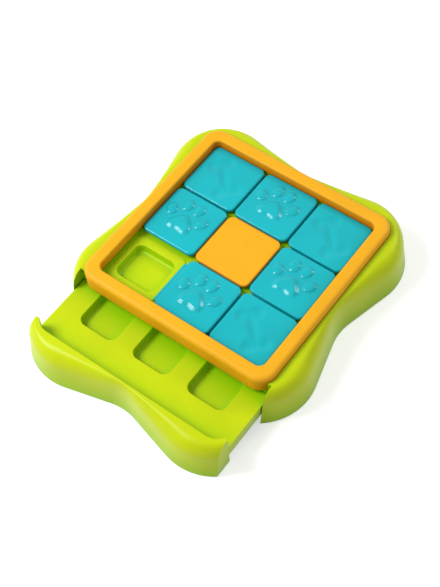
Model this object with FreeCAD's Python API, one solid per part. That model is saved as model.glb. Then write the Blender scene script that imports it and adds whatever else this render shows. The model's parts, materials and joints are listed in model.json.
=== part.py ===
"""Sliding-tile treat puzzle for a dog, with a treat drawer pulled out by one row.

Millimetres, +Z up. The floor is z = 0, x = y = 0 is the middle of the tile grid,
and the drawer opens towards -Y.
"""

import FreeCAD, Part
import math
import os

os.makedirs("parts", exist_ok=True)

V = FreeCAD.Vector

# Grid of three by three cells, with one cell free
pitch = 70.0
tile_gap = 2.0
tile_corner = 7.0
tile_thick = 6.7
tile_edge_round = 1.8
tile_skin = 2.2
tile_drop_gap = 0.3

# Tongue and step that hold each tile down under its neighbour
tongue_reach = 4.5
tongue_thick = 2.1
tongue_lift = 0.5
tongue_length = 54.0
tongue_clearance = 0.5
tongue_roof_gap = 0.6

# Casing outline on the floor: a big arc on each corner, a hollow arc on each side
lobe_past_rim = 26.5
waist_past_rim = 9.0
lobe_radius = 64.0
waist_radius = 60.0

# Casing side: a slight draft, then a rounded shoulder up to the rim
casing_bottom = 1.0
casing_past_tile = 0.5
shoulder_height = 22.0
draft_lobe = 3.5
draft_waist = 2.5
shoulder_lobe = 15.0
shoulder_waist = 4.5
shoulder_corner_tightening = 10.0
shoulder_angles = (25.0, 50.0, 72.0, 90.0)
casing_wall = 2.5
tunnel_lift = 0.1
tunnel_past_drawer = 20.0

# Raised rim round the tiles
rim_width = 15.5
rim_past_tile = 8.5
rim_outer_corner = 19.0
rim_outer_round = 5.0
rim_inner_round = 2.5
rim_wall = 2.2
rim_play = 0.5
rim_skirt_drop = 6.5

# Well tray under the tiles
tray_skin = 1.8
channel_depth = 1.0
plateau_margin = 3.0
plateau_corner = 8.0
ledge_lift = 0.5
ledge_inset = 0.2
pocket_gap = 1.0
well_x = 52.0
well_y = 45.0
well_corner = 9.0
well_depth = 9.5
well_draft = 1.6
well_floor_round = 3.0
well_lip_round = 1.0
well_wall = 1.6
tray_wall = 2.0
flange_width = 6.0
shelf_thick = 2.0
shelf_gap = 0.3
shelf_bite = 1.0

# Drawer
drawer_side_height = 16.3
drawer_past_rim = 0.5
drawer_side_clearance = 1.5
front_side_clearance = 0.5
front_floor_clearance = 0.4
drawer_skin = 2.0
drawer_roof_clearance = 0.6
header_clearance = 0.8
drawer_rows = 2
drawer_well_x = 47.0
drawer_well_y = 47.0
drawer_front_shelf = 27.2
drawer_back_shelf = 34.8
drawer_open = 71.0
drawer_travel = 152.0
panel_inset = 7.5
front_lip_clearance = 1.0
front_skin = 2.5
mouth_gap = 0.6

# Bottom plate with rails and stop ribs
foot_height = 3.0
plate_thick = 2.5
plate_gap = 0.4
rail_height = 6.7
rail_width = 9.8
rail_wall = 2.0
rail_gap = 0.3
rail_front_inset = 9.0
rail_past_drawer = 2.0
stop_thick = 4.0
stop_width = 20.0
stop_x = 60.0
stop_rib_height = 5.0
stop_lug_drop = 5.5
stop_gap = 0.3

# Feet
foot_radius = 8.0
foot_recess = 0.6
foot_inset = 39.0
front_foot_inset = 49.0
foot_edge_round = 0.8

# Screws
screw_shank = 1.4
screw_head = 2.8
screw_head_height = 1.8
screw_head_room = 0.5
screw_fit = 0.1
screw_cross_width = 0.7
screw_cross_length = 3.2
screw_cross_depth = 0.8
boss_wall = 1.7
screw_bite = 7.0
screw_tip_gap = 1.0
rim_screw_inset = 5.5
rim_screw_along = 60.0
casing_post_radius = 4.0
casing_post_inset = 13.0
casing_post_past_lobe_centre = 2.0
drawer_screw_x = 60.0
drawer_screw_lift = 7.5

# Paw and bone ornaments, measured from the middle of a tile
paw_height = 1.6
paw_root = 1.0
paw_round = 1.4
toe_half_width = 5.2
toe_half_length = 7.0
outer_toe = (19.8, 3.8)
inner_toe = (7.4, 17.0)
outer_toe_turn = 30.0
inner_toe_turn = 8.0
pad_points = ((0.0, 6.0), (-8.5, 1.0), (-15.5, -9.0), (-13.5, -17.0), (-6.5, -18.6), (0.0, -15.8),
              (6.5, -18.6), (13.5, -17.0), (15.5, -9.0), (8.5, 1.0))
bone_depth = 1.2
bone_round = 0.5
bone_half_shaft = 7.0
bone_knob_radius = 8.5
bone_knob_along = 19.0
bone_knob_across = 8.0

# Plan sizes that follow
tile_size = pitch - tile_gap
grid_half = 1.5 * pitch
rim_half = grid_half + rim_width
rim_inner_corner = tile_corner + tile_gap / 2
rim_hollow_inner = grid_half + rim_wall
rim_hollow_outer = rim_half - rim_wall
opening_half = rim_half + rim_play
opening_corner = rim_outer_corner + rim_play
step_depth = tongue_reach - tile_gap / 2
pocket_half = grid_half + tongue_reach - tile_gap / 2 + pocket_gap
ledge_half = grid_half - ledge_inset
plateau_half = pitch / 2 - plateau_margin
tray_outer = pocket_half + tray_wall
flange_half = tray_outer + flange_width
shelf_inner = tray_outer + shelf_gap
casing_lobe = rim_half + lobe_past_rim
casing_waist = rim_half + waist_past_rim
drawer_half = rim_half + drawer_past_rim
cut_half = drawer_half + drawer_side_clearance
front_half = cut_half - front_side_clearance
front_wall_y = panel_inset - rim_half
first_row_y = front_wall_y + drawer_front_shelf + drawer_well_y / 2
drawer_back = first_row_y + (drawer_rows - 1) * pitch + drawer_well_y / 2 + drawer_back_shelf
front_lip_half = rim_half + front_lip_clearance
front_lip_corner = rim_outer_corner + front_lip_clearance
boss_radius = screw_shank + boss_wall
rim_screw_x = rim_half - rim_screw_inset
casing_post_reach = casing_lobe - casing_post_inset
casing_post_along = casing_lobe - lobe_radius + casing_post_past_lobe_centre
far = 400.0

# Heights that follow, from the floor up
plate_bottom = foot_height
plate_top = plate_bottom + plate_thick
rail_top = plate_top + rail_height
drawer_skirt_bottom = rail_top + rail_gap
drawer_deck_top = drawer_skirt_bottom + drawer_side_height
drawer_front_bottom = casing_bottom + front_floor_clearance
drawer_screw_z = drawer_skirt_bottom + drawer_screw_lift
header_bottom = drawer_deck_top + header_clearance
deck_top = drawer_deck_top + drawer_roof_clearance + well_wall + well_depth
channel_z = deck_top - channel_depth
slab_bottom = channel_z - tray_skin
ledge_z = deck_top + ledge_lift
tile_bottom = deck_top + tile_drop_gap
tile_top = tile_bottom + tile_thick
tongue_bottom = tile_bottom + tongue_lift
tongue_top = tongue_bottom + tongue_thick
step_top = tongue_top + tongue_clearance
flange_top = tongue_top + tongue_roof_gap
flange_bottom = flange_top - tray_wall
shelf_top = flange_bottom
shelf_bottom = shelf_top - shelf_thick
rim_skirt_bottom = shelf_top - rim_skirt_drop
rim_top = tile_top + rim_past_tile
casing_top = tile_top + casing_past_tile
shoulder_start = casing_top - shoulder_height


def box(x0, y0, z0, x1, y1, z1):
    return Part.makeBox(x1 - x0, y1 - y0, z1 - z0, V(x0, y0, z0))


def cylinder(x, y, z0, z1, radius):
    return Part.makeCylinder(radius, z1 - z0, V(x, y, z0))


def turned(x, y, angle):
    c = math.cos(angle)
    s = math.sin(angle)
    return (x * c - y * s, x * s + y * c)


def rounded_wire(half_x, half_y, corner, z, cx=0.0, cy=0.0):
    """Rectangle with round corners, as four lines and four arcs."""
    edges = []
    inner_x = half_x - corner
    inner_y = half_y - corner
    centres = ((inner_x, inner_y), (-inner_x, inner_y), (-inner_x, -inner_y), (inner_x, -inner_y))
    points = []
    for k, (x, y) in enumerate(centres):
        for turn in (0.0, 45.0, 90.0):
            a = math.radians(90.0 * k + turn)
            points.append(V(cx + x + corner * math.cos(a), cy + y + corner * math.sin(a), z))
    for k in range(4):
        start, middle, end = points[3 * k:3 * k + 3]
        following = points[(3 * k + 3) % 12]
        edges.append(Part.Arc(start, middle, end).toShape())
        edges.append(Part.LineSegment(end, following).toShape())
    return Part.Wire(edges)


def rounded_block(half_x, half_y, corner, z0, z1, cx=0.0, cy=0.0):
    face = Part.Face(rounded_wire(half_x, half_y, corner, z0, cx, cy))
    return face.extrude(V(0, 0, z1 - z0))


def square_ring(outer, outer_corner, inner, inner_corner, z0, z1):
    block = rounded_block(outer, outer, outer_corner, z0, z1)
    hole = rounded_block(inner, inner, inner_corner, z0 - 1, z1 + 1)
    return block.cut(hole)


def edges_at(shape, z, keep=None):
    """Edges that lie flat at one height, and pass the test keep, if given."""
    found = []
    for edge in shape.Edges:
        b = edge.BoundBox
        if abs(b.ZMin - z) < 1e-4 and abs(b.ZMax - z) < 1e-4:
            if keep is None or keep(b):
                found.append(edge)
    return found


def casing_wire(lobe, waist, corner, hollow, z):
    """Wavy outline: corner arcs and side hollows joined by straight tangents."""
    centre = lobe - corner
    dx = waist + hollow - centre
    reach = math.hypot(dx, centre)
    lean = math.atan2(centre, dx) - math.acos((corner + hollow) / reach)
    c = math.cos(lean)
    s = math.sin(lean)
    corner_in = (centre + corner * c, centre - corner * s)
    corner_mid = (centre + corner * math.sqrt(0.5), centre + corner * math.sqrt(0.5))
    corner_out = (corner_in[1], corner_in[0])
    waist_out = (waist + hollow - hollow * c, hollow * s)
    waist_in = (waist_out[0], -waist_out[1])
    edges = []
    for k in range(4):
        def place(p, turn=k * math.pi / 2):
            x, y = turned(p[0], p[1], turn)
            return V(x, y, z)
        edges.append(Part.Arc(place(waist_in), place((waist, 0.0)), place(waist_out)).toShape())
        edges.append(Part.LineSegment(place(waist_out), place(corner_in)).toShape())
        edges.append(Part.Arc(place(corner_in), place(corner_mid), place(corner_out)).toShape())
        next_waist = turned(waist_in[0], waist_in[1], math.pi / 2)
        edges.append(Part.LineSegment(place(corner_out), place(next_waist)).toShape())
    return Part.Wire(edges)


def casing_form(inset, z_low):
    """Outer form of the casing, or its inside when inset is the wall."""
    z_high = casing_top - inset

    def wire(lobe_in, waist_in, tighten, z):
        return casing_wire(
            casing_lobe - inset - lobe_in,
            casing_waist - inset - waist_in,
            lobe_radius - inset - lobe_in - tighten,
            waist_radius + inset + waist_in,
            z,
        )

    wires = [wire(0.0, 0.0, 0.0, z_low), wire(draft_lobe, draft_waist, 0.0, shoulder_start)]
    for angle in shoulder_angles:
        a = math.radians(angle)
        drawn_in = 1.0 - math.cos(a)
        wires.append(wire(
            draft_lobe + shoulder_lobe * drawn_in,
            draft_waist + shoulder_waist * drawn_in,
            shoulder_corner_tightening * drawn_in,
            shoulder_start + (z_high - shoulder_start) * math.sin(a),
        ))
    side = Part.makeLoft(wires[:2], True, True)
    shoulder = Part.makeLoft(wires[1:], True, False)
    return side.fuse(shoulder)


def cup(half_x, half_y, corner, top, depth, draft, floor_round, cx, cy):
    """Solid that fills a treat well, tapered, with a rounded floor."""
    low = top - depth
    upper = rounded_wire(half_x, half_y, corner, top, cx, cy)
    lower = rounded_wire(half_x - draft, half_y - draft, corner - draft, low, cx, cy)
    solid = Part.makeLoft([upper, lower], True, True)
    return solid.makeFillet(floor_round, edges_at(solid, low))


def add_wells(body, half_x, half_y, top, centres):
    """Hang treat cups under a deck and open them to the top."""
    outside = cup(half_x + well_wall, half_y + well_wall, well_corner + well_wall, top,
                  well_depth + well_wall, well_draft, well_floor_round + well_wall, 0.0, 0.0)
    inside = cup(half_x, half_y, well_corner, top, well_depth, well_draft, well_floor_round, 0.0, 0.0)
    places = [V(cx, cy, 0) for cx, cy in centres]
    body = body.fuse([outside.translated(place) for place in places])
    return body.cut([inside.translated(place) for place in places])


def round_well_lips(body, top, half_x, half_y, centres):
    """Round the edge where each well meets the deck."""
    lips = []
    for edge in edges_at(body, top):
        b = edge.BoundBox
        for cx, cy in centres:
            inside_x = b.XMin > cx - half_x - 0.1 and b.XMax < cx + half_x + 0.1
            inside_y = b.YMin > cy - half_y - 0.1 and b.YMax < cy + half_y + 0.1
            if inside_x and inside_y:
                lips.append(edge)
    return body.makeFillet(well_lip_round, lips)


def screw(x, y, z_head, length, axis=V(0, 0, 1)):
    """Pan head screw whose head starts at z_head and whose shank runs along axis."""
    start = V(x, y, z_head)
    head = Part.makeCylinder(screw_head, screw_head_height, start, axis)
    shank = Part.makeCylinder(screw_shank, length + screw_head_height, start, axis)
    solid = head.fuse(shank)
    w = screw_cross_width
    h = screw_cross_length
    slot = Part.makeBox(w, h, screw_cross_depth, V(-w / 2, -h / 2, 0))
    cross = slot.fuse(Part.makeBox(h, w, screw_cross_depth, V(-h / 2, -w / 2, 0)))
    cross.Placement = FreeCAD.Placement(start, FreeCAD.Rotation(V(0, 0, 1), axis))
    return solid.cut(cross)


def save(name, shape):
    if shape.ShapeType == "Compound" and len(shape.Solids) == 1:
        shape = shape.Solids[0]
    shape.exportStep("parts/" + name + ".step")
    box_ = shape.optimalBoundingBox(False, False)
    print("%-26s solids %2d  valid %s  x %.1f %.1f  y %.1f %.1f  z %.1f %.1f" % (
        name, len(shape.Solids), shape.isValid(), box_.XMin, box_.XMax, box_.YMin, box_.YMax,
        box_.ZMin, box_.ZMax))


def cell_centre(col, row):
    return ((col - 1) * pitch, (row - 1) * pitch)


def casing_posts():
    """Places of the posts that the bottom plate is screwed to."""
    r = casing_post_reach
    a = casing_post_along
    return [(r, -a), (r, a), (-r, a), (-r, -a), (a, r), (-a, r)]


def rim_screw_places():
    x = rim_screw_x
    y = rim_screw_along
    return [(x, y), (x, -y), (-x, y), (-x, -y), (y, x), (-y, x), (y, -x), (-y, -x)]


def casing():
    outer = casing_form(0.0, casing_bottom)
    top = casing_top + 1.0
    skirt_inner = rim_hollow_outer - rim_play
    mouth_y = front_wall_y + mouth_gap
    rim_place = rounded_block(opening_half, opening_half, opening_corner, 0.0, top)
    # The drawer's mouth takes the whole front away between the two end walls
    skirt_path = square_ring(opening_half, opening_corner, skirt_inner,
                             rim_outer_corner - rim_wall - rim_play, rim_skirt_bottom - rim_play, top)
    hollows = [
        casing_form(casing_wall, casing_bottom - 1.0),
        rim_place.common(box(-far, -far, shelf_bottom, far, far, top)),
        box(-cut_half, -far, 0.0, cut_half, mouth_y, header_bottom),
        box(-cut_half, -far, 0.0, cut_half, -skirt_inner, top),
        box(-cut_half, -far, 0.0, cut_half, mouth_y, top).cut(rim_place),
        skirt_path.common(box(-far, -far, 0.0, far, -rim_half + rim_outer_corner, far)),
    ]
    shell = outer.cut(hollows)
    inner_parts = []
    wall_out = cut_half + casing_wall
    end_edge = drawer_back + tunnel_past_drawer
    for side in (-1, 1):
        x0, x1 = sorted((side * cut_half, side * wall_out))
        inner_parts.append(box(x0, -far, plate_top + tunnel_lift, x1, end_edge, casing_top))
        inner_parts.append(box(x0, -far, casing_bottom, x1, mouth_y, casing_top))
    collar = square_ring(opening_half + tray_wall, opening_corner + tray_wall, opening_half,
                         opening_corner, shelf_bottom, casing_top)
    inner_parts.append(collar)
    for x, y in casing_posts():
        inner_parts.append(cylinder(x, y, plate_top, casing_top, casing_post_radius))
    inner = inner_parts[0].fuse(inner_parts[1:]).common(outer)
    inner = inner.cut(hollows[1:])
    shelf = square_ring(opening_half + shelf_bite, opening_corner + shelf_bite, shelf_inner, tile_corner,
                        shelf_bottom, shelf_top)
    header = box(-cut_half, -shelf_inner - tray_wall, header_bottom, cut_half, -shelf_inner, shelf_bottom)
    body = shell.fuse([inner, shelf.fuse(header).cut(hollows[3:])])
    holes = []
    for x, y in casing_posts():
        holes.append(cylinder(x, y, plate_top - 1, plate_top + screw_bite + 1, screw_shank + screw_fit))
    for x, y in rim_screw_places():
        holes.append(cylinder(x, y, header_bottom - 1, shelf_bottom, screw_head + screw_head_room))
        holes.append(cylinder(x, y, shelf_bottom - 1, shelf_top + 1, screw_shank + screw_fit))
    return body.cut(holes).removeSplitter()


def bottom_plate():
    inset = casing_wall + plate_gap
    wire = casing_wire(casing_lobe - inset - draft_lobe / 4, casing_waist - inset - draft_waist / 4,
                       lobe_radius - inset - draft_lobe / 4, waist_radius + inset + draft_waist / 4,
                       plate_bottom)
    body = Part.Face(wire).extrude(V(0, 0, plate_thick))
    front_edge = front_wall_y + mouth_gap
    body = body.cut(box(-cut_half - casing_wall - plate_gap, -far, 0.0, cut_half + casing_wall + plate_gap,
                        front_edge, far))
    pods = Part.Face(wire).extrude(V(0, 0, plate_thick))
    pod_inner = cut_half + casing_wall + plate_gap
    for side in (-1, 1):
        x0, x1 = sorted((side * pod_inner, side * far))
        body = body.fuse(pods.common(box(x0, -far, 0.0, x1, front_edge, far)))
    rail_out = drawer_half + rail_gap
    rail_front_y = front_wall_y + rail_front_inset
    rail_back_y = drawer_back + rail_past_drawer
    for side in (-1, 1):
        x0, x1 = sorted((side * rail_out, side * (rail_out - rail_width)))
        rail = box(x0, rail_front_y, plate_top, x1, rail_back_y, rail_top)
        hollow = box(x0 + rail_wall, rail_front_y + rail_wall, plate_bottom - 1, x1 - rail_wall,
                     rail_back_y - rail_wall, rail_top - rail_wall)
        body = body.fuse(rail).cut(hollow)
        rib_back = drawer_back - stop_thick - drawer_travel - stop_gap
        body = body.fuse(box(side * stop_x - stop_width / 2, rib_back - stop_thick, plate_top,
                             side * stop_x + stop_width / 2, rib_back, plate_top + stop_rib_height))
    for x, y in casing_posts():
        body = body.cut(cylinder(x, y, plate_bottom - 1, plate_top + 1, screw_shank + screw_fit))
    for x, y in foot_places().values():
        body = body.cut(cylinder(x, y, plate_bottom - 1, plate_bottom + foot_recess, foot_radius))
    return body.removeSplitter()


def foot_places():
    out = casing_lobe - foot_inset
    front = front_foot_inset - casing_lobe
    return {
        "foot_front_left": (-out, front),
        "foot_front_right": (out, front),
        "foot_back_left": (-out, out),
        "foot_back_right": (out, out),
        "foot_centre": (0.0, 0.0),
    }


def foot(x, y):
    pad = cylinder(x, y, 0.0, plate_bottom + foot_recess, foot_radius)
    return pad.makeFillet(foot_edge_round, edges_at(pad, 0.0))


def well_tray():
    corner = rim_inner_corner
    body = rounded_block(tray_outer, tray_outer, corner + 6.0, slab_bottom, flange_top)
    flange = square_ring(flange_half, corner + 10.0, pocket_half, corner + 4.0, flange_bottom, flange_top)
    body = body.fuse(flange)
    body = body.cut(rounded_block(pocket_half, pocket_half, corner + 4.0, ledge_z, flange_top + 1))
    body = body.cut(rounded_block(ledge_half, ledge_half, corner, channel_z, flange_top + 1))
    cells = [cell_centre(col, row) for col in range(3) for row in range(3)]
    centres = [cell for cell in cells if cell != cell_centre(1, 1)]
    plateaus = [rounded_block(plateau_half, plateau_half, plateau_corner, slab_bottom, deck_top, cx, cy)
                for cx, cy in cells]
    body = body.fuse(plateaus)
    body = add_wells(body, well_x / 2, well_y / 2, deck_top, centres)
    body = round_well_lips(body, deck_top, well_x / 2, well_y / 2, centres)
    body = body.cut(cylinder(0, 0, slab_bottom - 1, deck_top + 1, screw_shank + screw_fit))
    for x, y in rim_screw_places():
        body = body.cut(cylinder(x, y, flange_bottom - 1, flange_top + 1, screw_shank + screw_fit))
    return body.removeSplitter()


def rim_frame():
    body = rounded_block(rim_half, rim_half, rim_outer_corner, shelf_top, rim_top)
    body = body.makeFillet(rim_outer_round, edges_at(body, rim_top))
    hole = rounded_block(grid_half, grid_half, rim_inner_corner, 0.0, rim_top + 1)
    body = body.cut(hole)
    inner_edges = edges_at(body, rim_top, lambda b: max(abs(b.XMin), abs(b.XMax), abs(b.YMin),
                                                        abs(b.YMax)) < grid_half + 0.1)
    body = body.makeFillet(rim_inner_round, inner_edges)
    below_bosses = square_ring(rim_hollow_outer, rim_outer_corner - rim_wall, grid_half - 1,
                               rim_inner_corner, 0.0, flange_top)
    body = body.cut(below_bosses)
    hollow = square_ring(rim_hollow_outer, rim_outer_corner - rim_wall, rim_hollow_inner,
                         rim_inner_corner + rim_wall, 0.0, rim_top - rim_wall)
    body = body.cut(hollow)
    skirt = square_ring(rim_half, rim_outer_corner, rim_hollow_outer, rim_outer_corner - rim_wall,
                        rim_skirt_bottom, shelf_top)
    body = body.fuse(skirt.common(box(-far, -far, 0.0, far, -rim_half + rim_outer_corner, far)))
    for x, y in rim_screw_places():
        boss = cylinder(x, y, flange_top, rim_top - rim_wall, boss_radius)
        body = body.fuse(boss)
        body = body.cut(cylinder(x, y, flange_top - 1, flange_top + screw_bite, screw_shank + screw_fit))
    return body.removeSplitter()


def paw():
    """Raised paw: one pad and four toes on the tile's top."""
    raised = []
    places = []
    for side in (-1, 1):
        places.append((side * outer_toe[0], outer_toe[1], -side * outer_toe_turn))
        places.append((side * inner_toe[0], inner_toe[1], -side * inner_toe_turn))
    for x, y, turn in places:
        ellipse = Part.Ellipse(V(0, 0, 0), toe_half_length, toe_half_width)
        face = Part.Face(Part.Wire([ellipse.toShape()]))
        toe = face.extrude(V(0, 0, paw_height + paw_root))
        toe = toe.makeFillet(paw_round, edges_at(toe, paw_height + paw_root))
        toe.rotate(V(0, 0, 0), V(0, 0, 1), 90.0 + turn)
        toe.translate(V(x, y, tile_top - paw_root))
        raised.append(toe)
    outline = Part.BSplineCurve()
    outline.interpolate([V(x, y, 0) for x, y in pad_points], PeriodicFlag=True)
    pad = Part.Face(Part.Wire([outline.toShape()])).extrude(V(0, 0, paw_height + paw_root))
    if pad.Volume < 0:
        pad.reverse()
    pad = pad.makeFillet(paw_round, edges_at(pad, paw_height + paw_root))
    pad.translate(V(0, 0, tile_top - paw_root))
    raised.append(pad)
    return raised


def bone():
    """Shallow bone-shaped hollow that runs from the back left to the front right."""
    z0 = tile_top - bone_depth
    length = bone_knob_along
    shape = box(-length, -bone_half_shaft, z0, length, bone_half_shaft, tile_top + 1)
    for along in (-length, length):
        for across in (-bone_knob_across, bone_knob_across):
            shape = shape.fuse(cylinder(along, across, z0, tile_top + 1, bone_knob_radius))
    shape = shape.removeSplitter()
    shape = shape.makeFillet(bone_round, edges_at(shape, z0))
    shape.rotate(V(0, 0, 0), V(0, 0, 1), -45.0)
    return shape


def tile(col, row, ornament, bottom=tile_bottom):
    """One square tile with its tongues on -X and +Y and its steps on +X and -Y."""
    half = tile_size / 2
    body = rounded_block(half, half, tile_corner, bottom, tile_top)
    body = body.makeFillet(tile_edge_round, edges_at(body, tile_top))
    body = body.cut(box(half - step_depth, -far, 0.0, far, far, step_top))
    body = body.cut(box(-far, -far, 0.0, far, -half + step_depth, step_top))
    half_tongue = tongue_length / 2
    body = body.fuse(box(-half - tongue_reach, -half_tongue, tongue_bottom, -half + tile_corner,
                         half_tongue, tongue_top))
    body = body.fuse(box(-half_tongue, half - tile_corner, tongue_bottom, half_tongue,
                         half + tongue_reach, tongue_top))
    near = half - tile_skin
    stepped = half - step_depth - tile_skin
    hollow_top = tile_top - tile_skin - (bone_depth if ornament == "bone" else 0.0)
    middle = (near - stepped) / 2
    half_hollow = (near + stepped) / 2
    hollow_corner = tile_corner - tile_skin
    hollow = rounded_block(half_hollow, half_hollow, hollow_corner, 0.0, hollow_top, -middle, middle)
    rib = tile_skin / 2
    hollow = hollow.cut(box(-far, middle - rib, 0.0, far, middle + rib, far))
    hollow = hollow.cut(box(-middle - rib, -far, 0.0, -middle + rib, far, far))
    hollow = hollow.cut(cylinder(0, 0, 0.0, far, boss_radius))
    body = body.cut(hollow)
    if ornament == "paw":
        for piece in paw():
            body = body.fuse(piece)
    if ornament == "bone":
        body = body.cut(bone())
        rims = edges_at(body, tile_top, lambda b: max(abs(b.XMin), abs(b.XMax), abs(b.YMin),
                                                      abs(b.YMax)) < half - tile_edge_round - 0.2)
        body = body.makeFillet(bone_round, rims)
    cx, cy = cell_centre(col, row)
    body.translate(V(cx, cy, 0))
    return body.removeSplitter()


def centre_cap():
    body = tile(1, 1, None, deck_top)
    return body.cut(cylinder(0, 0, deck_top - 1, tile_top - tile_skin, screw_shank + screw_fit))


def drawer_tray():
    """Drawer tray as it lies when closed."""
    front = -front_lip_half
    body = box(-drawer_half, front, drawer_deck_top - drawer_skin, drawer_half, drawer_back, drawer_deck_top)
    walls = box(-drawer_half, front_wall_y, drawer_skirt_bottom, drawer_half, drawer_back, drawer_deck_top)
    inside = box(-drawer_half + drawer_skin, front_wall_y + drawer_skin, drawer_skirt_bottom - 1,
                 drawer_half - drawer_skin, drawer_back - drawer_skin, drawer_deck_top - drawer_skin)
    body = body.fuse(walls.cut(inside))
    lip = rounded_block(front_lip_half, front_lip_half, front_lip_corner, 0.0, far)
    body = body.cut(box(-far, -far, 0.0, far, front_wall_y, far).cut(lip))
    centres = []
    for row in range(drawer_rows):
        for col in range(3):
            centres.append(((col - 1) * pitch, first_row_y + row * pitch))
    body = add_wells(body, drawer_well_x / 2, drawer_well_y / 2, drawer_deck_top, centres)
    body = round_well_lips(body, drawer_deck_top, drawer_well_x / 2, drawer_well_y / 2, centres)
    for side in (-1, 1):
        body = body.fuse(box(side * stop_x - stop_width / 2, drawer_back - stop_thick,
                             drawer_skirt_bottom - stop_lug_drop, side * stop_x + stop_width / 2,
                             drawer_back, drawer_deck_top - drawer_skin))
        start = V(side * drawer_screw_x, front_wall_y - drawer_skin, drawer_screw_z)
        hole = Part.makeCylinder(screw_shank + screw_fit, 4 * drawer_skin, start, V(0, 1, 0))
        body = body.cut(hole)
    return body.removeSplitter()


def drawer_front():
    """Wavy front panel of the drawer as it lies when closed."""
    outer = casing_form(0.0, drawer_front_bottom)
    reach = box(-front_half, -far, drawer_front_bottom, front_half, front_wall_y, casing_top + 1)
    body = outer.common(reach)
    deck_bottom = drawer_deck_top - drawer_skin
    body = body.cut(rounded_block(front_lip_half, front_lip_half, front_lip_corner, deck_bottom, far))
    inside = casing_form(front_skin, drawer_front_bottom - 2.0)
    side_wall = front_half - front_skin
    inside = inside.common(box(-side_wall, -far, 0.0, side_wall, front_wall_y - front_skin, casing_top))
    lip_wall = front_lip_half + front_skin
    lip_corner = front_lip_corner + front_skin
    over_deck = rounded_block(lip_wall, lip_wall, lip_corner, deck_bottom - front_skin, far)
    body = body.cut(inside.cut(over_deck))
    for side in (-1, 1):
        x = side * drawer_screw_x
        boss = Part.makeCylinder(boss_radius, screw_bite + 2.0,
                                 V(x, front_wall_y - screw_bite - 2.0, drawer_screw_z), V(0, 1, 0))
        body = body.fuse(boss.common(outer))
        body = body.cut(Part.makeCylinder(screw_shank + screw_fit, screw_bite,
                                          V(x, front_wall_y - screw_bite, drawer_screw_z), V(0, 1, 0)))
    return body.removeSplitter()


def drawer_screws():
    screws = []
    for side in (-1, 1):
        screws.append(screw(side * drawer_screw_x, front_wall_y + drawer_skin + screw_head_height,
                            drawer_screw_z, screw_bite, V(0, -1, 0)))
    return screws


def opened(shape):
    """Move a drawer piece from closed to the stored pose."""
    shape.translate(V(0, -drawer_open, 0))
    return shape


save("casing", casing())
save("bottom_plate", bottom_plate())
for name, (x, y) in foot_places().items():
    save(name, foot(x, y))
save("well_tray", well_tray())
save("rim_frame", rim_frame())
save("centre_cap", centre_cap())
save("centre_screw", screw(0, 0, slab_bottom - screw_head_height, tile_top - slab_bottom - 2 * tile_skin))
save("rim_screws", Part.makeCompound([
    screw(x, y, shelf_bottom - screw_head_height, flange_top - shelf_bottom + screw_bite - screw_tip_gap)
    for x, y in rim_screw_places()]))
save("casing_screws", Part.makeCompound([
    screw(x, y, plate_bottom - screw_head_height, plate_thick + screw_bite)
    for x, y in casing_posts()]))
save("tile_paw_left", tile(0, 1, "paw"))
save("tile_paw_back", tile(1, 2, "paw"))
save("tile_paw_right", tile(2, 1, "paw"))
save("tile_paw_front", tile(1, 0, "paw"))
save("tile_bone_back_left", tile(0, 2, "bone"))
save("tile_bone_back_right", tile(2, 2, "bone"))
save("tile_bone_front_right", tile(2, 0, "bone"))
save("drawer_tray", opened(drawer_tray()))
save("drawer_front", opened(drawer_front()))
save("drawer_screws", opened(Part.makeCompound(drawer_screws())))
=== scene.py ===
"""Looks of a sliding-tile treat puzzle for a dog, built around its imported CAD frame."""

import json
import math

import bmesh
import bpy
import numpy as np
from mathutils import Matrix, Vector


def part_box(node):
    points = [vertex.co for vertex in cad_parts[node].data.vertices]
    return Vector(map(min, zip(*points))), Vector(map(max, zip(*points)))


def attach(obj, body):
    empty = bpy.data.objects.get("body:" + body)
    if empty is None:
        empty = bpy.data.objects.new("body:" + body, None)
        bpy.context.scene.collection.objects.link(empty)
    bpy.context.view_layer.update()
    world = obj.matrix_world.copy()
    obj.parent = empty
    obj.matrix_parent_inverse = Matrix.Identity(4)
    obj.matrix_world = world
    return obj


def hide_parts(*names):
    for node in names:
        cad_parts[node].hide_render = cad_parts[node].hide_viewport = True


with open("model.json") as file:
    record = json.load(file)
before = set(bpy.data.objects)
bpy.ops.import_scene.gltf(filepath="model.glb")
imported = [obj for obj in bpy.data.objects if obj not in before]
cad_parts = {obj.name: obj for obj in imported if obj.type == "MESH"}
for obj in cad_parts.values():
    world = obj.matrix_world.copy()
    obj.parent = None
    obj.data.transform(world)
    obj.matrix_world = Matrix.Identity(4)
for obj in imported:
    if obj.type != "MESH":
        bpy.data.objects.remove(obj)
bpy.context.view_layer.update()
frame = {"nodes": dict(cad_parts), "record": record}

# Camera, fitted to the photograph with the tile grid as its scale
mm = 0.001
pitch = 70.0 * mm
tile_top = 47.5 * mm
image_width = 440
image_height = 587
camera_azimuth = math.radians(40.946)
camera_elevation = math.radians(56.933)
camera_roll = math.radians(-5.201)
camera_distance = 17.39 * pitch
camera_aim = Vector((0.237 * pitch, -0.777 * pitch, tile_top))
camera_focus_px = 1182.1
camera_near = 0.05
camera_far = 20.0
sensor_long_side = 36.0

# Tile: a square with tongues on -X and +Y and undercut steps on +X and -Y, sized as in the CAD
# apart from its rounder edge and its shallower hollow
tile_gap = 2.0 * mm
tile_half = (pitch - tile_gap) / 2
tile_thick = 6.7 * mm
tile_corner = 7.0 * mm
tile_skin = 2.2 * mm
tongue_reach = 4.5 * mm
tongue_half_length = 27.0 * mm
tongue_low = 0.5 * mm
tongue_thick = 2.1 * mm
tongue_high = tongue_low + tongue_thick
tongue_clearance = 0.5 * mm
step_height = tongue_high + tongue_clearance
step_depth = tongue_reach - tile_gap / 2
post_radius = 3.1 * mm

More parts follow.
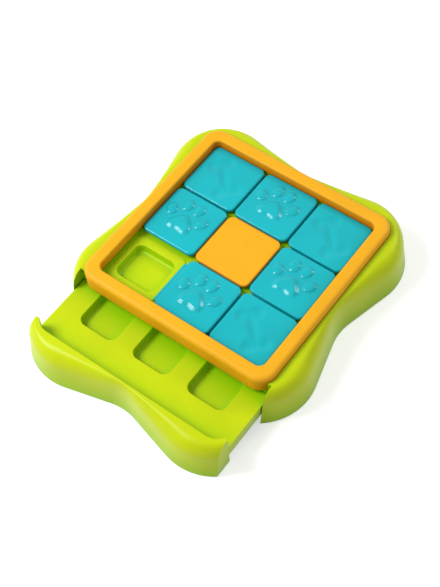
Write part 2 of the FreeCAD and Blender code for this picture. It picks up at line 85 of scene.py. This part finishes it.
# Roundings and fineness of the tile meshes
edge_round = 2.3 * mm
edge_steps = 7
grid_step = 0.8 * mm
tongue_round = 0.7 * mm
tongue_round_steps = 3
post_sides = 32
tile_sharp_angle = math.radians(40.0)
same_point = 0.001 * mm

# Hollow under a tile, inside its walls and its two steps
step_reach = tile_half - step_depth
hollow_half = (tile_half + step_reach) / 2 - tile_skin
hollow_shift = (tile_half - step_reach) / 2
hollow_top = tile_thick - 2 * tile_skin

# Paw on a tile, from its middle, with half of the pad's outline in millimetres
paw_shift = (-1.8 * mm, 0.6 * mm)
pad_height = 2.4 * mm
pad_slope = 6.5 * mm
pad_half = ((0.0, 7.0), (9.0, 1.5), (16.0, -9.0), (14.5, -17.5), (7.0, -19.6), (0.0, -18.0))
pad_steps = 10
toe_height = 2.1 * mm
toe_half_length = 8.0 * mm
toe_half_width = 6.2 * mm
outer_toe = (19.8 * mm, 3.8 * mm)
outer_toe_turn = 30.0
inner_toe = (7.4 * mm, 17.0 * mm)
inner_toe_turn = 8.0

# Bone sunk into a tile, along the diagonal from the back left to the front right
bone_depth = 1.7 * mm
bone_slope = 8.0 * mm
bone_knob_along = 19.0 * mm
bone_knob_across = 8.5 * mm
bone_knob_radius = 9.5 * mm
bone_half_shaft = 7.5 * mm
bone_blend = 7.0 * mm

# Colours of the three plastics and the small parts, linear
lime = (0.60, 0.72, 0.0)
orange = (0.95, 0.46, 0.012)
teal = (0.0, 0.49, 0.555)
rubber = (0.018, 0.018, 0.018)
steel = (0.55, 0.55, 0.56)
white = (1.0, 1.0, 1.0, 1.0)

# Painted shade: the darker colour that each takes in hollows and along its foot, where ambient occlusion
# finds shade
lime_painted_shade = (0.29, 0.58, 0.0)
orange_painted_shade = (0.82, 0.25, 0.0)
teal_painted_shade = (0.0, 0.30, 0.34)
rubber_painted_shade = (0.012, 0.012, 0.012)
steel_painted_shade = (0.42, 0.42, 0.43)
painted_shade_reach = 40.0 * mm
painted_shade_shut = 0.45
painted_shade_open = 0.97
painted_shade_samples = 8

# Mottling, uneven gloss and fine grain, with scales in features per metre
noise_low = 0.3
noise_high = 0.7
mottle_scale = 22.0
mottle_dark = 0.94
mottle_pale = 1.03
gloss_scale = 90.0
gloss_below = 0.03
gloss_above = 0.04
grain_scale = 900.0
grain_strength = 0.06
grain_height = 0.05 * mm

# Shading of the CAD meshes
weld_distance = 0.002 * mm
smooth_angle = math.radians(28.0)

# Light and floor: levels, places and sizes in metres, lamps in watts
world_level = 0.42
floor_size = 6.0
floor_paper = 0.7
floor_glow = 0.55
lamp_aim = (0.0, -0.03, 0.03)
key_place = (-0.9, -0.7, 1.3)
key_size = 0.7
key_power = 22.0
back_place = (0.5, 1.2, 1.0)
back_size = 0.35
back_power = 5.0


def make_camera():
    """Camera turned by azimuth, elevation and roll about the point that it looks at."""
    data = bpy.data.cameras.new("camera")
    data.sensor_width = sensor_long_side
    data.lens = camera_focus_px * sensor_long_side / max(image_width, image_height)
    data.clip_start = camera_near
    data.clip_end = camera_far
    camera = bpy.data.objects.new("camera", data)
    bpy.context.scene.collection.objects.link(camera)
    flat = math.cos(camera_elevation)
    back = Vector((math.sin(camera_azimuth) * flat, -math.cos(camera_azimuth) * flat,
                   math.sin(camera_elevation)))
    right = Vector((math.cos(camera_azimuth), math.sin(camera_azimuth), 0.0))
    up = back.cross(right)
    c = math.cos(camera_roll)
    s = math.sin(camera_roll)
    turned_right = right * c + up * s
    turned_up = up * c - right * s
    turn = Matrix((turned_right, turned_up, back)).transposed()
    camera.matrix_world = Matrix.Translation(camera_aim + back * camera_distance) @ turn.to_4x4()
    bpy.context.scene.camera = camera


def area_light(name, place, size, power):
    """Square lamp that faces the object."""
    data = bpy.data.lights.new(name, "AREA")
    data.shape = "SQUARE"
    data.size = size
    data.energy = power
    lamp = bpy.data.objects.new(name, data)
    lamp.location = place
    lamp.rotation_mode = "QUATERNION"
    lamp.rotation_quaternion = (Vector(lamp_aim) - Vector(place)).to_track_quat("-Z", "Y")
    bpy.context.scene.collection.objects.link(lamp)


def make_lights():
    area_light("key", key_place, key_size, key_power)
    area_light("back", back_place, back_size, back_power)


def seen_directly(tree):
    """1 for camera, glossy and transmission rays, 0 for diffuse and shadow rays."""
    path = tree.nodes.new("ShaderNodeLightPath")
    seen = path.outputs["Is Camera Ray"]
    for other in ("Is Glossy Ray", "Is Transmission Ray"):
        either = tree.nodes.new("ShaderNodeMath")
        either.operation = "MAXIMUM"
        tree.links.new(seen, either.inputs[0])
        tree.links.new(path.outputs[other], either.inputs[1])
        seen = either.outputs[0]
    return seen


def make_world():
    """White where it is seen, and dimmer as a light."""
    world = bpy.data.worlds.new("studio")
    bpy.context.scene.world = world
    world.use_nodes = True
    tree = world.node_tree
    tree.nodes.clear()
    output = tree.nodes.new("ShaderNodeOutputWorld")
    shown = tree.nodes.new("ShaderNodeBackground")
    shown.inputs["Color"].default_value = white
    shown.inputs["Strength"].default_value = 1.0
    light = tree.nodes.new("ShaderNodeBackground")
    light.inputs["Color"].default_value = white
    light.inputs["Strength"].default_value = world_level
    mix = tree.nodes.new("ShaderNodeMixShader")
    tree.links.new(seen_directly(tree), mix.inputs["Fac"])
    tree.links.new(light.outputs[0], mix.inputs[1])
    tree.links.new(shown.outputs[0], mix.inputs[2])
    tree.links.new(mix.outputs[0], output.inputs["Surface"])


def floor_material():
    """Matt paper that keeps the shadow, with a glow that only direct views see."""
    material = bpy.data.materials.new("floor_white")
    material.use_nodes = True
    tree = material.node_tree
    tree.nodes.clear()
    output = tree.nodes.new("ShaderNodeOutputMaterial")
    paper = tree.nodes.new("ShaderNodeBsdfDiffuse")
    paper.inputs["Color"].default_value = (floor_paper, floor_paper, floor_paper, 1.0)
    glow = tree.nodes.new("ShaderNodeEmission")
    glow.inputs["Color"].default_value = white
    strength = tree.nodes.new("ShaderNodeMath")
    strength.operation = "MULTIPLY"
    strength.inputs[1].default_value = floor_glow
    tree.links.new(seen_directly(tree), strength.inputs[0])
    tree.links.new(strength.outputs[0], glow.inputs["Strength"])
    add = tree.nodes.new("ShaderNodeAddShader")
    tree.links.new(paper.outputs[0], add.inputs[0])
    tree.links.new(glow.outputs[0], add.inputs[1])
    tree.links.new(add.outputs[0], output.inputs["Surface"])
    return material


def make_floor():
    mesh = bpy.data.meshes.new("floor")
    half = floor_size / 2
    corners = [(-half, -half, 0.0), (half, -half, 0.0), (half, half, 0.0), (-half, half, 0.0)]
    mesh.from_pydata(corners, [], [(0, 1, 2, 3)])
    mesh.materials.append(floor_material())
    floor = bpy.data.objects.new("floor", mesh)
    bpy.context.scene.collection.objects.link(floor)


class Shader:
    """Small helper that adds nodes to one material."""

    def __init__(self, name):
        self.material = bpy.data.materials.new(name)
        self.material.use_nodes = True
        self.tree = self.material.node_tree
        self.surface = self.tree.nodes["Principled BSDF"]
        self.where = self.tree.nodes.new("ShaderNodeTexCoord").outputs["Object"]

    def node(self, kind, **settings):
        made = self.tree.nodes.new(kind)
        for key, value in settings.items():
            setattr(made, key, value)
        return made

    def link(self, source, target):
        self.tree.links.new(source, target)

    def noise(self, scale, detail=3.0, roughness=0.5):
        made = self.node("ShaderNodeTexNoise")
        made.inputs["Scale"].default_value = scale
        made.inputs["Detail"].default_value = detail
        made.inputs["Roughness"].default_value = roughness
        self.link(self.where, made.inputs["Vector"])
        return made.outputs["Fac"]

    def spread(self, value, low, high):
        """Stretch the middle of a noise to the range between low and high."""
        made = self.node("ShaderNodeMapRange")
        made.inputs["From Min"].default_value = noise_low
        made.inputs["From Max"].default_value = noise_high
        made.inputs["To Min"].default_value = low
        made.inputs["To Max"].default_value = high
        self.link(value, made.inputs["Value"])
        return made.outputs["Result"]

    def mix(self, fac, first, second):
        """Blend from a plain colour to a second one, which may be the colour of a socket."""
        made = self.node("ShaderNodeMix", data_type="RGBA")
        self.link(fac, made.inputs["Factor"])
        made.inputs["A"].default_value = (*first, 1.0)
        if isinstance(second, tuple):
            made.inputs["B"].default_value = (*second, 1.0)
        else:
            self.link(second, made.inputs["B"])
        return made.outputs["Result"]

    def painted_shade_openness(self):
        """Ambient occlusion mask for the painted shade: 1 on open faces, falling to 0 in narrow hollows.
        """
        made = self.node("ShaderNodeAmbientOcclusion", samples=painted_shade_samples)
        made.inputs["Distance"].default_value = painted_shade_reach
        limits = self.node("ShaderNodeMapRange")
        limits.inputs["From Min"].default_value = painted_shade_shut
        limits.inputs["From Max"].default_value = painted_shade_open
        self.link(made.outputs["AO"], limits.inputs["Value"])
        return limits.outputs["Result"]

    def bump(self, height, strength, distance):
        made = self.node("ShaderNodeBump")
        made.inputs["Strength"].default_value = strength
        made.inputs["Distance"].default_value = distance
        self.link(height, made.inputs["Height"])
        self.link(made.outputs["Normal"], self.surface.inputs["Normal"])


def finish_and_painted_shade(name, colours, roughness, index, metallic=0.0):
    """Finish with painted shade in hollows by ambient occlusion, faint mottling, fine grain and uneven
    gloss.
    """
    s = Shader(name)
    colour, painted_shade_colour = colours
    darker = tuple(mottle_dark * c for c in colour)
    paler = tuple(min(1.0, mottle_pale * c) for c in colour)
    mottled = s.mix(s.spread(s.noise(mottle_scale), 0.0, 1.0), darker, paler)
    # Painted shade: the base colour turns to its darker shade colour where ambient occlusion finds hollows
    s.link(s.mix(s.painted_shade_openness(), painted_shade_colour, mottled), s.surface.inputs["Base Color"])
    gloss = s.spread(s.noise(gloss_scale, detail=2.0), roughness - gloss_below, roughness + gloss_above)
    s.link(gloss, s.surface.inputs["Roughness"])
    s.surface.inputs["IOR"].default_value = index
    s.surface.inputs["Metallic"].default_value = metallic
    s.bump(s.noise(grain_scale, detail=2.0), grain_strength, grain_height)
    return s.material


def make_materials():
    """One material for each material slot of the record."""
    # Each pair is the plastic's own colour and the painted shade colour it takes in hollows
    finishes = {
        "lime_plastic": {"colours": (lime, lime_painted_shade), "roughness": 0.34, "index": 1.3},
        "orange_plastic": {"colours": (orange, orange_painted_shade), "roughness": 0.46, "index": 1.3},
        "teal_plastic": {"colours": (teal, teal_painted_shade), "roughness": 0.16, "index": 1.36},
        "foot_rubber": {"colours": (rubber, rubber_painted_shade), "roughness": 0.75, "index": 1.45},
        "screw_steel": {"colours": (steel, steel_painted_shade), "roughness": 0.35, "index": 1.45, "metallic": 1.0},
    }
    return {slot: finish_and_painted_shade(slot, **values) for slot, values in finishes.items()}


def smooth_group():
    """Geometry nodes that weld split vertices and shade smoothly across shallow edges."""
    group = bpy.data.node_groups.new("smooth_shallow_edges", "GeometryNodeTree")
    group.interface.new_socket("Geometry", in_out="INPUT", socket_type="NodeSocketGeometry")
    group.interface.new_socket("Geometry", in_out="OUTPUT", socket_type="NodeSocketGeometry")
    n = group.nodes
    start = n.new("NodeGroupInput")
    end = n.new("NodeGroupOutput")
    weld = n.new("GeometryNodeMergeByDistance")
    weld.inputs["Distance"].default_value = weld_distance
    drop = n.new("GeometryNodeRemoveAttribute")
    drop.inputs["Name"].default_value = "custom_normal"
    faces = n.new("GeometryNodeSetShadeSmooth")
    faces.domain = "FACE"
    faces.inputs["Shade Smooth"].default_value = True
    edges = n.new("GeometryNodeSetShadeSmooth")
    edges.domain = "EDGE"
    edges.inputs["Shade Smooth"].default_value = False
    angle = n.new("GeometryNodeInputMeshEdgeAngle")
    steep = n.new("FunctionNodeCompare")
    steep.operation = "GREATER_THAN"
    steep.inputs["B"].default_value = smooth_angle
    group.links.new(start.outputs[0], drop.inputs[0])
    group.links.new(drop.outputs[0], weld.inputs["Geometry"])
    group.links.new(weld.outputs[0], faces.inputs["Geometry"])
    group.links.new(faces.outputs[0], edges.inputs["Geometry"])
    group.links.new(angle.outputs["Unsigned Angle"], steep.inputs["A"])
    group.links.new(steep.outputs[0], edges.inputs["Selection"])
    group.links.new(edges.outputs[0], end.inputs[0])
    return group


def dress_nodes(materials):
    """Give each CAD node the material of its slot and the smooth shading."""
    group = smooth_group()
    slots = {row["node"]: row["material_slot"] for row in frame["record"]["subparts"]}
    for name, node in frame["nodes"].items():
        node.data.materials.clear()
        node.data.materials.append(materials[slots[name]])
        modifier = node.modifiers.new("smooth", "NODES")
        modifier.node_group = group


def grid_lines():
    """Places of the grid lines across a tile: even inside, closer over the rounded edge."""
    inner = tile_half - edge_round
    count = 2 * round(inner / grid_step)
    lines = [inner * (2 * k / count - 1) for k in range(1, count)]
    turns = [math.radians(90.0 * k / edge_steps) for k in range(edge_steps + 1)]
    ends = [inner + edge_round * math.sin(turn) for turn in turns]
    return np.array([-end for end in reversed(ends)] + lines + ends)


def onto_round_corners(x, y):
    """Move the points of a square grid so that its corners become arcs."""
    inner = tile_half - tile_corner
    a = np.maximum(np.abs(x) - inner, 0.0)
    b = np.maximum(np.abs(y) - inner, 0.0)
    in_corner = (a > 0) & (b > 0)
    length = np.where(in_corner, np.hypot(a, b), 1.0)
    scale = np.where(in_corner, np.maximum(a, b) / length, 1.0)
    new_x = np.where(a > 0, np.sign(x) * (inner + a * scale), x)
    new_y = np.where(b > 0, np.sign(y) * (inner + b * scale), y)
    return new_x, new_y


def inside_edge(x, y):
    """Distance from the tile's outline, measured inwards."""
    qx = np.abs(x) - (tile_half - tile_corner)
    qy = np.abs(y) - (tile_half - tile_corner)
    outer = np.hypot(np.maximum(qx, 0.0), np.maximum(qy, 0.0))
    return tile_corner - outer - np.minimum(np.maximum(qx, qy), 0.0)


def edge_drop(x, y):
    """How far the rounded edge lies below the flat top."""
    d = np.clip(inside_edge(x, y), 0.0, edge_round)
    return edge_round - np.sqrt(np.maximum(edge_round ** 2 - (edge_round - d) ** 2, 0.0))


def dome(depth):
    """Round profile that rises from 0 at the rim to 1 where depth reaches 1."""
    d = np.clip(depth, 0.0, 1.0)
    return np.sqrt(1.0 - (1.0 - d) ** 2)


def soft_step(depth):
    """Smooth rise from 0 to 1 that starts and ends level."""
    d = np.clip(depth, 0.0, 1.0)
    return d * d * (3.0 - 2.0 * d)


def pad_outline():
    """Closed smooth curve through the pad's points and their mirror images."""
    right = [Vector((x * mm, y * mm)) for x, y in pad_half]
    points = right + [Vector((-p.x, p.y)) for p in reversed(right[1:-1])]
    count = len(points)
    curve = []
    for k in range(count):
        before, start, end, after = (points[(k + j) % count] for j in (-1, 0, 1, 2))
        for j in range(pad_steps):
            t = j / pad_steps
            curve.append(0.5 * (2 * start + (end - before) * t
                                + (2 * before - 5 * start + 4 * end - after) * t ** 2
                                + (3 * start - before - 3 * end + after) * t ** 3))
    return curve


def inside_curve(x, y, curve):
    """Distance to a closed curve, positive inside and 0 outside."""
    nearest = np.full(x.shape, np.inf)
    crossings = np.zeros(x.shape, dtype=int)
    for start, end in zip(curve, curve[1:] + curve[:1]):
        dx = end.x - start.x
        dy = end.y - start.y
        t = np.clip(((x - start.x) * dx + (y - start.y) * dy) / (dx * dx + dy * dy), 0.0, 1.0)
        nearest = np.minimum(nearest, np.hypot(x - start.x - t * dx, y - start.y - t * dy))
        spans = (start.y > y) != (end.y > y)
        if start.y != end.y:
            crossings += spans & (x < start.x + (y - start.y) * dx / dy)
    return np.where(crossings % 2 == 1, nearest, 0.0)


def paw_relief(x, y):
    """Raised paw: a pad with soft slopes and four domed toes."""
    x = x - paw_shift[0]
    y = y - paw_shift[1]
    height = pad_height * soft_step(inside_curve(x, y, pad_outline()) / pad_slope)
    for side in (-1, 1):
        for (along, up), turn in ((outer_toe, outer_toe_turn), (inner_toe, inner_toe_turn)):
            a = math.radians(90.0 - side * turn)
            dx = x - side * along
            dy = y - up
            length = (dx * math.cos(a) + dy * math.sin(a)) / toe_half_length
            width = (dy * math.cos(a) - dx * math.sin(a)) / toe_half_width
            height = np.maximum(height, toe_height * dome(1.0 - np.hypot(length, width)))
    return height


def bone_relief(x, y):
    """Soft hollow with two knobs at each end and a shaft that narrows in the middle."""
    along = (x - y) * math.sqrt(0.5)
    across = (x + y) * math.sqrt(0.5)
    from_knob = np.abs(along) - bone_knob_along
    shaft = bone_half_shaft - np.hypot(np.maximum(from_knob, 0.0), across)
    knobs = bone_knob_radius - np.hypot(from_knob, np.abs(across) - bone_knob_across)
    share = np.clip(0.5 + 0.5 * (knobs - shaft) / bone_blend, 0.0, 1.0)
    inside = shaft + (knobs - shaft) * share + bone_blend * share * (1.0 - share)
    return -bone_depth * soft_step(inside / bone_slope)


def add_top(mesh, relief):
    """Grid over the top and the rounded edge, which returns its outermost vertices in order."""
    lines = grid_lines()
    count = len(lines)
    x, y = onto_round_corners(*np.meshgrid(lines, lines, indexing="ij"))
    z = tile_thick - edge_drop(x, y) + relief(x, y)
    top = [[mesh.verts.new((x[i, j], y[i, j], z[i, j])) for j in range(count)] for i in range(count)]
    for i in range(count - 1):
        for j in range(count - 1):
            mesh.faces.new((top[i][j], top[i + 1][j], top[i + 1][j + 1], top[i][j + 1]))
    last = count - 1
    outline = [top[i][0] for i in range(last)]
    outline += [top[last][j] for j in range(last)]
    outline += [top[i][last] for i in range(last, 0, -1)]
    outline += [top[0][j] for j in range(last, 0, -1)]
    return outline


def on_outline(v):
    """Place straight below a vertex of the outline."""
    return v.co.x, v.co.y


def in_steps(v):
    """The same place, drawn in to the walls under the two steps."""
    return min(v.co.x, step_reach), max(v.co.y, -step_reach)


def in_hollow(v):
    """The same place, scaled to the outline of the hollow."""
    x = v.co.x * hollow_half / tile_half - hollow_shift
    y = v.co.y * hollow_half / tile_half + hollow_shift
    return x, y


def join_rings(mesh, upper, lower):
    for k in range(len(upper)):
        j = (k + 1) % len(upper)
        mesh.faces.new((upper[k], lower[k], lower[j], upper[j]))


def add_underside(mesh, outline):
    """Wall down to the steps, in under them, down to the bottom and up into the hollow."""
    rings = [outline]
    for place, height in ((on_outline, step_height), (in_steps, step_height), (in_steps, 0.0),
                          (in_hollow, 0.0), (in_hollow, hollow_top)):
        rings.append([mesh.verts.new((*place(v), height)) for v in outline])
        join_rings(mesh, rings[-2], rings[-1])
    mesh.faces.new(list(reversed(rings[-1])))
    bmesh.ops.remove_doubles(mesh, verts=[v for ring in rings[1:] for v in ring], dist=same_point)


def add_block(mesh, low, high, rounding=0.0):
    """Closed block between two corners, with rounded edges if asked."""
    centre = (Vector(low) + Vector(high)) / 2
    size = Vector(high) - Vector(low)
    made = bmesh.ops.create_cube(mesh, size=1.0, matrix=Matrix.LocRotScale(centre, None, size))
    if rounding:
        corners = set(made["verts"])
        edges = [edge for edge in mesh.edges if edge.verts[0] in corners]
        bmesh.ops.bevel(mesh, geom=edges, offset=rounding, segments=tongue_round_steps,
                        affect="EDGES", profile=0.5)


def add_tongues(mesh):
    near = tile_half - tile_corner
    far = tile_half + tongue_reach
    side = tongue_half_length
    add_block(mesh, (-far, -side, tongue_low), (-near, side, tongue_high), tongue_round)
    add_block(mesh, (-side, near, tongue_low), (side, far, tongue_high), tongue_round)


def add_ribs_and_post(mesh):
    """Two crossed ribs in the hollow and a round post in the tile's middle."""
    rib = tile_skin / 2
    low = -hollow_half - hollow_shift
    high = hollow_half - hollow_shift
    add_block(mesh, (low, hollow_shift - rib, 0.0), (high, hollow_shift + rib, hollow_top))
    add_block(mesh, (-hollow_shift - rib, -high, 0.0), (-hollow_shift + rib, -low, hollow_top))
    post_place = Matrix.Translation((0.0, 0.0, hollow_top / 2))
    bmesh.ops.create_cone(mesh, cap_ends=True, segments=post_sides, radius1=post_radius,
                          radius2=post_radius, depth=hollow_top, matrix=post_place)


def tile_mesh(name, relief):
    """One tile about its own middle, with its underside at z = 0."""
    mesh = bmesh.new()
    add_underside(mesh, add_top(mesh, relief))
    add_tongues(mesh)
    add_ribs_and_post(mesh)
    bmesh.ops.recalc_face_normals(mesh, faces=mesh.faces)
    data = bpy.data.meshes.new(name)
    mesh.to_mesh(data)
    mesh.free()
    data.polygons.foreach_set("use_smooth", [True] * len(data.polygons))
    data.set_sharp_from_angle(angle=tile_sharp_angle)
    return data


def make_tiles(material):
    """Detailed tiles in place of the plain ones, each on the body of the tile it stands for."""
    kinds = {"paw": tile_mesh("paw_tile", paw_relief), "bone": tile_mesh("bone_tile", bone_relief)}
    for data in kinds.values():
        data.materials.append(material)
    to_middle = tongue_reach + tile_half
    for body, members in frame["record"]["behaviour"]["bodies"].items():
        for node in members:
            if not node.startswith("tile_"):
                continue
            low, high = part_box(node)
            piece = bpy.data.objects.new("finished_" + node, kinds[node.split("_")[1]])
            piece.location = (low[0] + to_middle, high[1] - to_middle, low[2])
            bpy.context.scene.collection.objects.link(piece)
            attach(piece, body)
            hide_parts(node)


make_camera()
make_world()
make_floor()
make_lights()
materials = make_materials()
dress_nodes(materials)
make_tiles(materials["teal_plastic"])

scene = bpy.context.scene
scene.view_settings.view_transform = "Standard"
